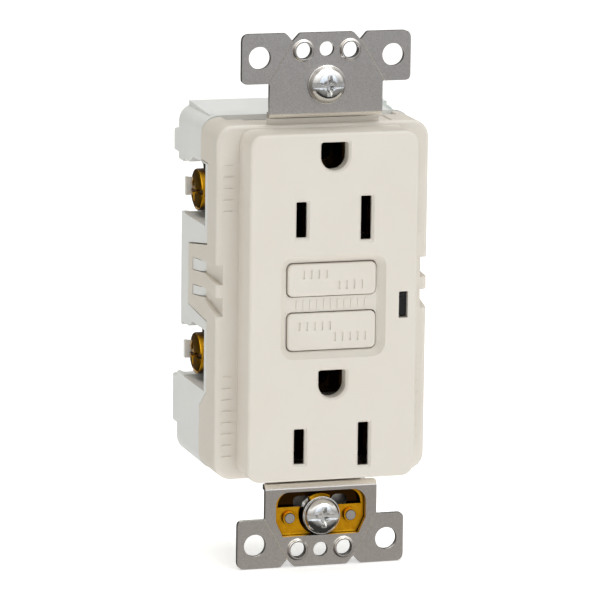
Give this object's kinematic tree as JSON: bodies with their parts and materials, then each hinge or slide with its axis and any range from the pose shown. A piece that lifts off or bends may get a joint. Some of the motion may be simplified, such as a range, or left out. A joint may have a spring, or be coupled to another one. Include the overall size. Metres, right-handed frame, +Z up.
{
  "type": "gfci outlet",
  "caption": "Decorator-style duplex ground-fault receptacle with test and reset buttons, side terminals and a steel mounting strap.",
  "frame": {"origin": "centre of the bounding box; the front of the strap's ears lies on the plane y = -0.0129 m and the face's front at y = -0.0193 m", "axes": "-Y out of the wall towards the user, +Z up with the ground openings above the blade slots, +X to the user's right (neutral side)"},
  "size_m": [0.042, 0.0386, 0.1032],
  "materials": {
    "almond": "satin light almond",
    "black": "matt black",
    "board": "solder resist",
    "brass": "bright",
    "bright_steel": "bright nickel plated",
    "copper_wire": "enamelled winding",
    "epoxy": "glossy blue",
    "green_steel": "green dyed",
    "lens": "smoked clear",
    "strap_steel": "dull zinc plated",
    "white": "satin white"
  },
  "bodies": {
    "case": {"front_cover": "almond", "rear_housing": "white", "middle_frame": "black", "mounting_strap": "strap_steel", "ground_clip": "brass", "clip_backing_plate": "strap_steel", "clip_rivet_left": "strap_steel", "clip_rivet_right": "strap_steel", "ground_contact_upper": "brass", "ground_contact_lower": "brass", "terminal_plate_load_hot": "brass", "terminal_plate_load_neutral": "bright_steel", "terminal_plate_line_hot": "brass", "terminal_plate_line_neutral": "bright_steel", "hot_bus": "brass", "neutral_bus": "brass", "hot_line_bar": "brass", "neutral_line_bar": "brass", "solenoid_coil": "copper_wire", "solenoid_frame": "strap_steel", "circuit_board": "board", "sensing_transformer": "black", "surge_suppressor": "epoxy", "capacitor": "epoxy", "indicator_led": "lens", "indicator_lens": "lens"},
    "test_button": {"test_button": "almond"},
    "test_arm": {"test_arm": "brass"},
    "reset_button": {"reset_button": "almond", "reset_rod": "bright_steel", "reset_spring": "bright_steel"},
    "trip_plunger": {"solenoid_plunger": "bright_steel"},
    "latch": {"latch_plate": "strap_steel"},
    "carrier": {"contact_carrier": "black", "hot_contact_arm": "brass", "neutral_contact_arm": "brass"},
    "retainer_upper": {"screw_retainer_upper": "black"},
    "retainer_lower": {"screw_retainer_lower": "black"},
    "mounting_screw_upper": {"mounting_screw_upper": "bright_steel"},
    "mounting_screw_lower": {"mounting_screw_lower": "bright_steel"},
    "ground_screw": {"ground_screw": "green_steel"},
    "clamp_load_hot": {"clamp_plate_load_hot": "brass"},
    "clamp_load_neutral": {"clamp_plate_load_neutral": "bright_steel"},
    "clamp_line_hot": {"clamp_plate_line_hot": "brass"},
    "clamp_line_neutral": {"clamp_plate_line_neutral": "bright_steel"},
    "screw_load_hot": {"terminal_screw_load_hot": "brass"},
    "screw_load_neutral": {"terminal_screw_load_neutral": "bright_steel"},
    "screw_line_hot": {"terminal_screw_line_hot": "brass"},
    "screw_line_neutral": {"terminal_screw_line_neutral": "bright_steel"}
  },
  "joints": [
    {"name": "test_press", "type": "slide", "parent": "case", "child": "test_button", "axis": [0, 1, 0], "range_m": [0, 0.0014], "stiffness_N_per_m": 400, "springref_m": -0.001},
    {"name": "test_arm_bend", "type": "hinge", "parent": "case", "child": "test_arm", "pos_m": [0, -0.0024, 0.0122], "axis": [1, 0, 0], "range_deg": [0, 12]},
    {"name": "reset_press", "type": "slide", "parent": "case", "child": "reset_button", "axis": [0, 1, 0], "range_m": [-0.0009, 0.0012], "stiffness_N_per_m": 300, "deforming": ["reset_spring"]},
    {"name": "trip", "type": "slide", "parent": "case", "child": "trip_plunger", "axis": [0, 0, -1], "range_m": [0, 0.0013], "stiffness_N_per_m": 60, "springref_m": -0.002},
    {"name": "latch_slide", "type": "slide", "parent": "case", "child": "latch", "axis": [0, 0, -1], "range_m": [0, 0.0014]},
    {"name": "contacts_open", "type": "slide", "parent": "case", "child": "carrier", "axis": [0, 1, 0], "range_m": [0, 0.0015]},
    {"name": "retainer_upper_float", "type": "slide", "parent": "case", "child": "retainer_upper", "axis": [0, -1, 0], "range_m": [0, 0.002]},
    {"name": "retainer_lower_float", "type": "slide", "parent": "case", "child": "retainer_lower", "axis": [0, -1, 0], "range_m": [0, 0.0018]},
    {"name": "mounting_screw_upper_turn", "type": "hinge", "parent": "retainer_upper", "child": "mounting_screw_upper", "pos_m": [0, -0.0129, 0.04167], "axis": [0, 1, 0], "continuous": true},
    {"name": "mounting_screw_lower_turn", "type": "hinge", "parent": "retainer_lower", "child": "mounting_screw_lower", "pos_m": [0, -0.0129, -0.04167], "axis": [0, 1, 0], "continuous": true},
    {"name": "ground_screw_turn", "type": "hinge", "parent": "case", "child": "ground_screw", "pos_m": [0.0167, 0.0043, 0.0294], "axis": [1, 0, 0], "continuous": true},
    {"name": "clamp_load_hot_slide", "type": "slide", "parent": "case", "child": "clamp_load_hot", "axis": [-1, 0, 0], "range_m": [0, 0.00149]},
    {"name": "screw_load_hot_turn", "type": "hinge", "parent": "clamp_load_hot", "child": "screw_load_hot", "pos_m": [-0.017, 0.0084, 0.0188], "axis": [-1, 0, 0], "range_deg": [0, 675]},
    {"name": "clamp_load_neutral_slide", "type": "slide", "parent": "case", "child": "clamp_load_neutral", "axis": [1, 0, 0], "range_m": [0, 0.00149]},
    {"name": "screw_load_neutral_turn", "type": "hinge", "parent": "clamp_load_neutral", "child": "screw_load_neutral", "pos_m": [0.017, 0.0084, 0.0188], "axis": [1, 0, 0], "range_deg": [0, 675]},
    {"name": "clamp_line_hot_slide", "type": "slide", "parent": "case", "child": "clamp_line_hot", "axis": [-1, 0, 0], "range_m": [0, 0.00149]},
    {"name": "screw_line_hot_turn", "type": "hinge", "parent": "clamp_line_hot", "child": "screw_line_hot", "pos_m": [-0.017, 0.0084, -0.0133], "axis": [-1, 0, 0], "range_deg": [0, 675]},
    {"name": "clamp_line_neutral_slide", "type": "slide", "parent": "case", "child": "clamp_line_neutral", "axis": [1, 0, 0], "range_m": [0, 0.00149]},
    {"name": "screw_line_neutral_turn", "type": "hinge", "parent": "clamp_line_neutral", "child": "screw_line_neutral", "pos_m": [0.017, 0.0084, -0.0133], "axis": [1, 0, 0], "range_deg": [0, 675]}
  ],
  "couplings": [
    {"joint": "screw_load_hot_turn", "follows": "clamp_load_hot_slide", "rad_per_m": 7913.3},
    {"joint": "screw_load_neutral_turn", "follows": "clamp_load_neutral_slide", "rad_per_m": 7913.3},
    {"joint": "screw_line_hot_turn", "follows": "clamp_line_hot_slide", "rad_per_m": 7913.3},
    {"joint": "screw_line_neutral_turn", "follows": "clamp_line_neutral_slide", "rad_per_m": 7913.3},
    {"joint": "test_arm_bend", "follows": "test_press", "rad_per_m": 149},
    {"joint": "latch_slide", "follows": "trip", "ratio": 1},
    {"joint": "contacts_open", "follows": "trip", "ratio": 1.1}
  ]
}
